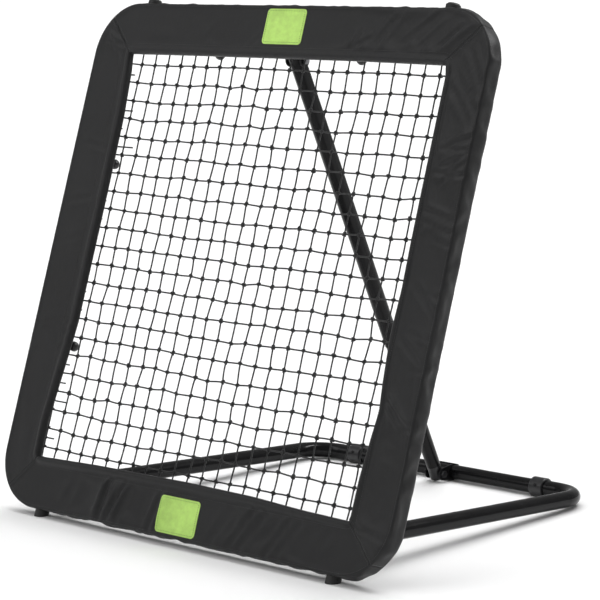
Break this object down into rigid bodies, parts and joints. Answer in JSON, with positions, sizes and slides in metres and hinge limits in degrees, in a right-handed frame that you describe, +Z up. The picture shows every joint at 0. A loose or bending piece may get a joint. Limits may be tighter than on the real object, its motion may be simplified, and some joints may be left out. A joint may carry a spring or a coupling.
{
  "type": "pitch back rebounder",
  "caption": "Square padded net frame that leans back on a hinged tube floor base, propped by a telescoping rear strut with a lock knob.",
  "frame": {"origin": "on the ground at the centre of the footprint", "axes": "+X right when facing the net, +Y to the back, +Z up"},
  "size_m": [1.212, 0.9512, 1.1792],
  "materials": {
    "tube_steel": "gloss black powder coat",
    "bracket_steel": "satin black powder coat",
    "fastener_steel": "black oxide steel",
    "pad_fabric": "satin woven nylon",
    "pad_foam": "closed-cell foam",
    "label_fabric": "matt sewn patch",
    "net_cord": "knotted cord",
    "border_rope": "braided rope",
    "bungee_cord": "braided elastic",
    "tie_nylon": "nylon",
    "moulded_plastic": "fine moulded grain",
    "plug_plastic": "moulded",
    "foot_rubber": "matt rubber"
  },
  "bodies": {
    "front_frame": {"top_tube": "tube_steel", "bottom_tube": "tube_steel", "left_tube": "tube_steel", "right_tube": "tube_steel", "corner_tube_top_right": "tube_steel", "corner_tube_top_left": "tube_steel", "corner_tube_bottom_left": "tube_steel", "corner_tube_bottom_right": "tube_steel", "foot_left": "foot_rubber", "foot_right": "foot_rubber", "bumper_left": "foot_rubber", "bumper_right": "foot_rubber", "foot_stubs": "bracket_steel", "hinge_bracket_left": "bracket_steel", "hinge_bracket_right": "bracket_steel", "hinge_bolts": "fastener_steel", "hinge_nuts": "fastener_steel", "strut_bracket": "bracket_steel", "strut_bolt": "fastener_steel", "strut_nut": "fastener_steel", "net": "net_cord", "net_border_rope": "border_rope", "net_bungees": "bungee_cord", "bungee_balls": "moulded_plastic", "net_ties": "tie_nylon", "pad_foam_top": "pad_foam", "pad_foam_bottom": "pad_foam", "pad_foam_left": "pad_foam", "pad_foam_right": "pad_foam", "pad_cover_top": "pad_fabric", "pad_cover_bottom": "pad_fabric", "pad_cover_left": "pad_fabric", "pad_cover_right": "pad_fabric", "label_top": "label_fabric", "label_bottom": "label_fabric"},
    "floor_base": {"arm_left": "tube_steel", "arm_right": "tube_steel", "arm_plug_left": "plug_plastic", "arm_plug_right": "plug_plastic", "crossbar": "tube_steel", "collar_left": "moulded_plastic", "collar_right": "moulded_plastic", "collar_screws": "fastener_steel", "strut_clevis": "bracket_steel", "clevis_bolt": "fastener_steel", "clevis_nut": "fastener_steel"},
    "strut_outer": {"strut_outer_tube": "tube_steel", "strut_top_plug": "plug_plastic", "knob_boss": "bracket_steel"},
    "strut_inner": {"strut_inner_tube": "tube_steel", "strut_hook": "plug_plastic"},
    "lock_knob": {"lock_knob": "moulded_plastic", "lock_screw": "fastener_steel"}
  },
  "joints": [
    {"name": "base_fold", "type": "hinge", "parent": "front_frame", "child": "floor_base", "pos_m": [0, -0.38309, 0.06778], "axis": [1, 0, 0], "range_deg": [0, 71.5]},
    {"name": "strut_swing", "type": "hinge", "parent": "front_frame", "child": "strut_outer", "pos_m": [0, -0.05867, 1.04431], "axis": [1, 0, 0], "range_deg": [-44, 0]},
    {"name": "strut_slide", "type": "slide", "parent": "strut_outer", "child": "strut_inner", "axis": [0, -0.4181, 0.9084], "range_m": [0, 0.24]},
    {"name": "knob_turn", "type": "hinge", "parent": "strut_outer", "child": "lock_knob", "pos_m": [0, 0.24615, 0.38204], "axis": [0, 0.9084, 0.4181], "range_deg": [0, 360]}
  ],
  "couplings": [
    {"joint": "strut_swing", "follows": "base_fold", "ratio": -0.6042}
  ]
}
